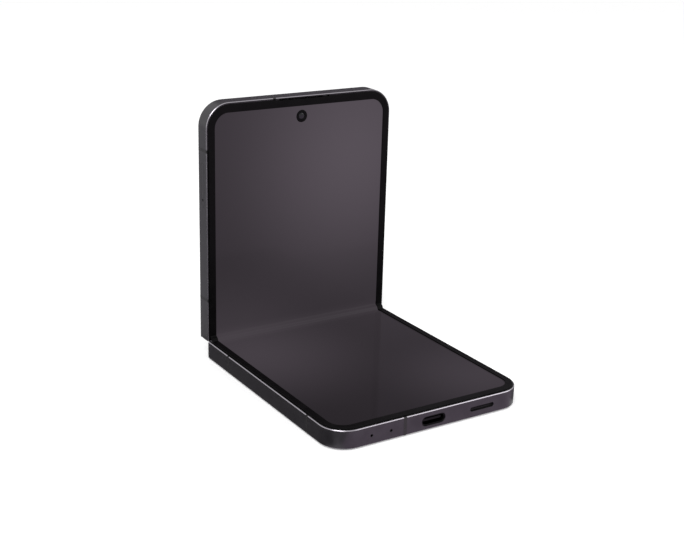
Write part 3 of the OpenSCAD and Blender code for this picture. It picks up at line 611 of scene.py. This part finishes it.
def turned(name, profile, at, axis, body, mat):
    """A solid of revolution; the profile gives (radius, height) along the axis, both in millimetres. One that
    meets the axis nowhere makes a ring."""
    bm = bmesh.new()
    rings = []
    for radius, height in profile:
        if radius == 0:
            rings.append([bm.verts.new((0, 0, height * MM))])
        else:
            circle = [on_circle(radius * MM, 360 * i / TURN_STEPS) for i in range(TURN_STEPS)]
            rings.append([bm.verts.new((*point, height * MM)) for point in circle])
    closed = profile[0][0] and profile[-1][0]
    for p, q in zip(rings, rings[1:] + rings[:1] if closed else rings[1:]):
        for i in range(TURN_STEPS):
            j = (i + 1) % TURN_STEPS
            corners = dict.fromkeys((p[i % len(p)], p[j % len(p)], q[j % len(q)], q[i % len(q)]))
            bm.faces.new(list(corners))
    if not closed:
        for ring in (rings[0], rings[-1]):
            if len(ring) > 1:
                bm.faces.new(ring)
    turn = Vector(axis).to_track_quat("Z", "Y").to_matrix().to_4x4()
    bmesh.ops.transform(bm, matrix=Matrix.Translation(at) @ turn, verts=bm.verts)
    bmesh.ops.recalc_face_normals(bm, faces=bm.faces)
    obj = add_object(name, bm, [mat])
    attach(obj, body)
    return obj


def flash_finish(middle):
    """A frosted lens over a yellow phosphor."""
    mat, tree, bsdf, where = nodes_of("flash_lens")
    away = tree.nodes.new("ShaderNodeVectorMath")
    away.operation = "DISTANCE"
    away.inputs[1].default_value = middle
    tree.links.new(where, away.inputs[0])
    share = spread(tree, away.outputs["Value"], 0, 1, 0, 2 * MM)
    tree.links.new(ramp(tree, share, [(0.3, (0.75, 0.5, 0.1)), (0.55, (0.72, 0.66, 0.45)),
                                      (0.9, (0.6, 0.58, 0.54))]), bsdf.inputs["Base Color"])
    bsdf.inputs["Roughness"].default_value = 0.25
    bsdf.inputs["Coat Weight"].default_value = 0.5
    return mat


LENS_R, LENS_D, BARREL_D, WINDOW_BACK = 2.15, HALF_T - 0.34, HALF_T - 0.6, HALF_T + 0.7
BORDER_PROFILE = [(3.65, -0.035), (3.65, -0.01), (4.95, -0.01), (4.95, -0.035)]


def lens_pick(middle):
    """The camera's front lens, at the bottom of its barrel, gets the barrel's second material."""
    def pick(at, normal):
        x, a, d = to_half("upper", at)
        return int(math.hypot(x - LENS_X, a - middle) < LENS_R and d > LENS_D)
    return pick


def rear_camera(name, a):
    """A barrel with its coated front lens, and the black border inside its window."""
    dressed(f"{name}_camera", "upper_half", f"{name}_camera_barrel",
            [FINISH["barrel"], FINISH["coated_lens"]], 0.04,
            choose=lambda p: to_half("upper", p)[2] > BARREL_D, pick=lens_pick(a))
    turned(f"{name}_lens_border", BORDER_PROFILE, to_row("upper", LENS_X, a, WINDOW_BACK), (0, 1, 0),
           "upper_half", FINISH["bezel"])


FLASH_D, GROOVE_D, GROOVE_SLOPE = -0.02, -0.09, 0.05
GROOVE_RADII = (1.75, 1.5, 1.25, 1.0, 0.75)


def flash_lens():
    """The flash, with saw-toothed rings in its face."""
    at = to_row("upper", LENS_X, FLASH_A, HALF_T)
    grooves = [p for r in GROOVE_RADII for p in ((r, FLASH_D), (r - GROOVE_SLOPE, GROOVE_D))]
    profile = [(1.98, -1.0), (1.98, FLASH_D)] + grooves + [(0.5, FLASH_D), (0, FLASH_D)]
    obj = turned("flash_lens", profile, at, (0, 1, 0), "upper_half", flash_finish(at))
    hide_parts("flash")


FRONT_RING_PROFILE = [(2.1, -0.4), (2.1, -0.12), (2.0, -0.08), (1.15, -0.08), (1.05, -0.2), (1.05, -0.4)]
FRONT_LENS_PROFILE = [(1.03, -0.35), (1.03, -0.2), (0.9, -0.14), (0.5, -0.09), (0, -0.07)]


def front_camera():
    """The lens and its black ring, in the display's hole."""
    at = to_row("upper", 0, PUNCH_A, PICTURE_D)
    turned("front_lens_ring", FRONT_RING_PROFILE, at, (0, -1, 0), "upper_half", FINISH["bezel"])
    turned("front_lens", FRONT_LENS_PROFILE, at, (0, -1, 0), "upper_half",
           FINISH["lens_glass"])


CONTACT_X = [-2.75 + 0.5 * i for i in range(12)]
CONTACT_SIZE, CONTACT_A, TONGUE_D, TONGUE_HALF = (0.25, 4.2, 0.04), HALF_L - 3.9, 3.6, 0.36


def usb_contacts():
    """Gold contacts on both faces of the receptacle's tongue."""
    bm = bmesh.new()
    size = Matrix.Diagonal((*(c * MM for c in CONTACT_SIZE), 1))
    for x in CONTACT_X:
        for d in (TONGUE_D - TONGUE_HALF, TONGUE_D + TONGUE_HALF):
            at = Matrix.Translation(to_row("lower", x, CONTACT_A, d))
            bmesh.ops.create_cube(bm, size=1, matrix=at @ size)
    obj = add_object("usb_contacts", bm, [FINISH["gold"]])
    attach(obj, "lower_half")


for name, a in LENS_A.items():
    rear_camera(name, a)
flash_lens()
front_camera()
usb_contacts()

# ---- studio ----

FLOOR_GLOW, WORLD_LEVEL = 0.3, 0.7
LIT_POINT = (0, 0.02, 0.03)
CARD_Z, UP = 0.0004, (0, 0, 1)
# Cards that lie on the floor: size and middle in metres, and colour
FLOOR_CARDS = {
    "front_floor": ((0.7, 0.5), (0.316, -0.2914), (1.08, 0.9, 1.1)),
    "left_front_floor": ((0.59, 0.5), (-0.329, -0.2914), (0.42, 0.41, 0.43)),
    "left_floor": ((0.6, 0.598), (-0.3361, 0.359), (0.58, 0.57, 0.6)),
    "left_near_floor": ((0.6, 0.1), (-0.3361, 0.009), (0.2, 0.19, 0.205)),
    "right_floor": ((0.6, 0.7), (0.3361, 0.308), (0.25, 0.24, 0.26)),
}


def flat_card(name, size, at, facing, mat):
    mesh = bpy.data.meshes.new(name)
    w, h = size[0] / 2, size[1] / 2
    mesh.from_pydata([(-w, -h, 0), (w, -h, 0), (w, h, 0), (-w, h, 0)], [], [(0, 1, 2, 3)])
    obj = bpy.data.objects.new(name, mesh)
    bpy.context.scene.collection.objects.link(obj)
    obj.location = at
    obj.rotation_mode = "QUATERNION"
    obj.rotation_quaternion = Vector(facing).to_track_quat("Z", "Y")
    mesh.materials.append(mat)
    return obj


def seen_directly(tree):
    """1 for camera, glossy and transmission rays."""
    path = tree.nodes.new("ShaderNodeLightPath")
    seen = path.outputs["Is Camera Ray"]
    for other in ("Is Glossy Ray", "Is Transmission Ray"):
        add = tree.nodes.new("ShaderNodeMath")
        add.operation = "MAXIMUM"
        tree.links.new(seen, add.inputs[0])
        tree.links.new(path.outputs[other], add.inputs[1])
        seen = add.outputs[0]
    return seen


def floor_material():
    mat, tree, bsdf, where = nodes_of("floor")
    patch = noise(tree, where, 0.4, detail=2)
    tree.links.new(ramp(tree, patch, [(0.3, (0.9, 0.9, 0.9)), (0.7, (0.92, 0.92, 0.92))]),
                   bsdf.inputs["Base Color"])
    bsdf.inputs["Roughness"].default_value = 0.9
    bsdf.inputs["Specular IOR Level"].default_value = 0.1
    bsdf.inputs["Emission Color"].default_value = (1, 1, 1, 1)
    tree.links.new(spread(tree, seen_directly(tree), 0, FLOOR_GLOW, 0, 1), bsdf.inputs["Emission Strength"])
    return mat


def area_light(name, at, target, size, power):
    data = bpy.data.lights.new(name, "AREA")
    data.shape = "RECTANGLE"
    data.size, data.size_y = size
    data.energy = power
    obj = bpy.data.objects.new(name, data)
    bpy.context.scene.collection.objects.link(obj)
    obj.location = at
    obj.rotation_mode = "QUATERNION"
    obj.rotation_quaternion = (Vector(target) - Vector(at)).to_track_quat("-Z", "Y")


def make_world(level):
    world = bpy.data.worlds.new("studio")
    bpy.context.scene.world = world
    world.use_nodes = True
    tree = world.node_tree
    tree.nodes.clear()
    back = tree.nodes.new("ShaderNodeBackground")
    back.inputs["Color"].default_value = (1, 1, 1, 1)
    tree.links.new(spread(tree, seen_directly(tree), level, 1.0, 0, 1), back.inputs["Strength"])
    out = tree.nodes.new("ShaderNodeOutputWorld")
    tree.links.new(back.outputs[0], out.inputs["Surface"])


def mirror_card(name, size, at, facing, colour):
    """A studio card that only shows in reflections."""
    mat = bpy.data.materials.new(name)
    mat.use_nodes = True
    tree = mat.node_tree
    tree.nodes.clear()
    emit = tree.nodes.new("ShaderNodeEmission")
    emit.inputs["Color"].default_value = (*colour, 1)
    out = tree.nodes.new("ShaderNodeOutputMaterial")
    tree.links.new(emit.outputs[0], out.inputs["Surface"])
    obj = flat_card(name, size, at, facing, mat)
    obj.visible_camera = obj.visible_diffuse = obj.visible_shadow = obj.visible_transmission = False


make_world(WORLD_LEVEL)
flat_card("floor", (6, 6), (0, 0, 0), UP, floor_material())
area_light("key", (-0.5, -0.35, 0.75), LIT_POINT, (0.5, 0.5), 4)
area_light("fill", (0.7, -0.5, 0.5), LIT_POINT, (0.6, 0.6), 2)
mirror_card("behind_right", (0.8, 0.5), (0.47, 0.6, 0.23), (0, -1, 0), (0.15, 0.13, 0.16))
for name, (size, middle, colour) in FLOOR_CARDS.items():
    mirror_card(name, size, (*middle, CARD_Z), UP, colour)
bpy.context.scene.view_settings.view_transform = "Standard"
